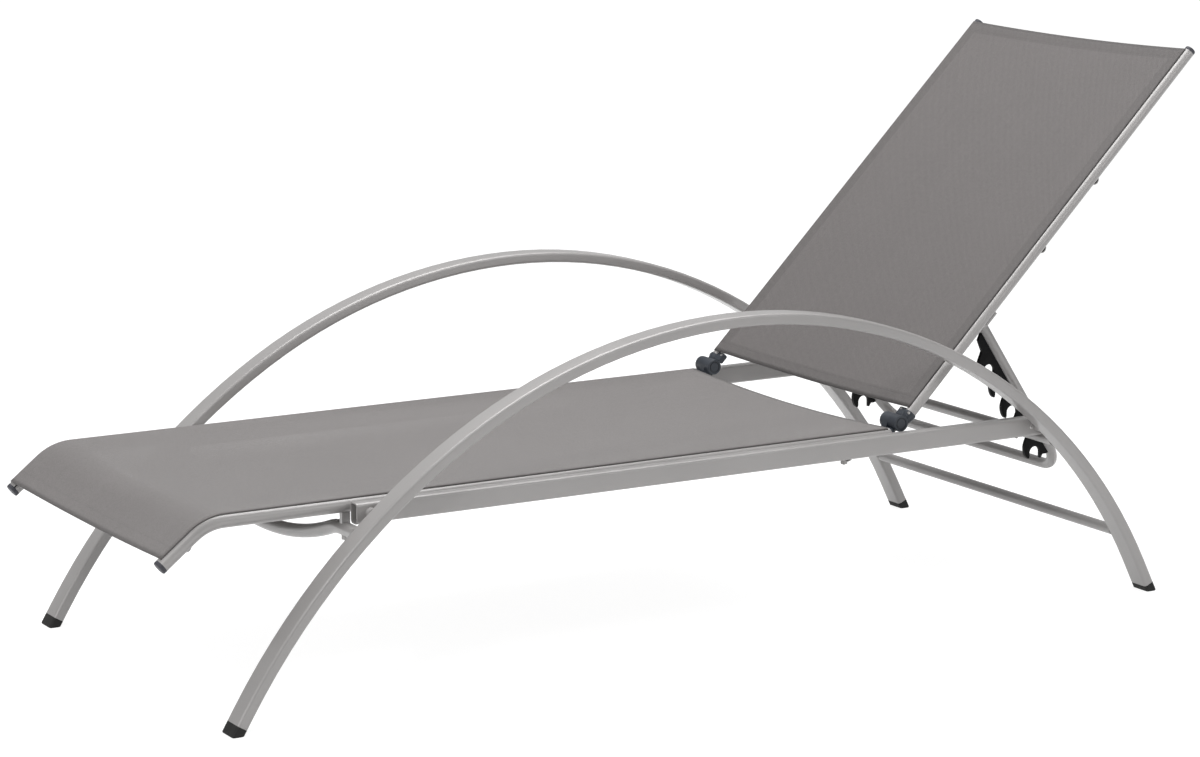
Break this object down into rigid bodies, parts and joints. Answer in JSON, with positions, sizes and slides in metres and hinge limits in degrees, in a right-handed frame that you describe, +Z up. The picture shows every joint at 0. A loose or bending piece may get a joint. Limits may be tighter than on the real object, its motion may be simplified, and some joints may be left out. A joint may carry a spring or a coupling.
{
  "type": "sun lounger",
  "caption": "Low sun lounger with arched tube arms that run down into the legs, a stretched mesh bed with a dropped foot end, and a backrest raised on a notched prop frame.",
  "frame": {"origin": "on the floor under the centre of the bounding box", "axes": "+X runs from the foot end to the head end, +Y points to the sleeper's right, +Z is up"},
  "size_m": [1.749, 0.715, 0.8359],
  "materials": {
    "frame_grey": "satin powder coat",
    "seat_mesh": "fine woven mesh",
    "back_mesh": "fine woven mesh",
    "edge_cord": "matte",
    "hinge_slate": "matte",
    "cap_slate": "matte",
    "comb_black": "matte",
    "foot_rubber": "matte",
    "pin_steel": "plain"
  },
  "bodies": {
    "base": {"arch_bolts": "pin_steel", "arch_left": "frame_grey", "arch_right": "frame_grey", "arch_sleeves": "frame_grey", "foot_front_left": "foot_rubber", "foot_front_right": "foot_rubber", "foot_rear_left": "foot_rubber", "foot_rear_right": "foot_rubber", "foot_spreader": "frame_grey", "front_spreader": "frame_grey", "front_spreader_tabs": "frame_grey", "hinge_pin_left": "pin_steel", "hinge_pin_right": "pin_steel", "hinge_seat_leaf_left": "hinge_slate", "hinge_seat_leaf_right": "hinge_slate", "hinge_seat_rivets": "pin_steel", "prop_bar": "frame_grey", "rear_spreader": "frame_grey", "rear_spreader_tabs": "frame_grey", "rear_stretcher": "frame_grey", "seat_edge_cords": "edge_cord", "seat_rail_cap_left": "cap_slate", "seat_rail_cap_right": "cap_slate", "seat_rail_left": "frame_grey", "seat_rail_right": "frame_grey", "seat_sling": "seat_mesh", "side_rail_left": "frame_grey", "side_rail_right": "frame_grey"},
    "backrest": {"back_edge_cords": "edge_cord", "back_rail_cap_left": "cap_slate", "back_rail_cap_right": "cap_slate", "back_rail_left": "frame_grey", "back_rail_right": "frame_grey", "back_sling": "back_mesh", "back_spreader_lower": "frame_grey", "back_spreader_upper": "frame_grey", "hinge_back_leaf_left": "hinge_slate", "hinge_back_leaf_right": "hinge_slate", "hinge_back_rivets": "pin_steel", "pivot_bolts": "pin_steel", "pivot_lug_left": "frame_grey", "pivot_lug_right": "frame_grey"},
    "prop": {"comb_left": "comb_black", "comb_right": "comb_black", "prop_frame": "frame_grey"}
  },
  "joints": [
    {"name": "backrest_hinge", "type": "hinge", "parent": "base", "child": "backrest", "pos_m": [0.328, 0, 0.3], "axis": [0, -1, 0], "range_deg": [0, 130]},
    {"name": "prop_swing", "type": "hinge", "parent": "backrest", "child": "prop", "pos_m": [0.50209, 0, 0.43562], "axis": [0, -1, 0], "range_deg": [-34.62, 0]}
  ],
  "couplings": [
    {"joint": "prop_swing", "follows": "backrest_hinge", "ratio": -0.2625}
  ]
}
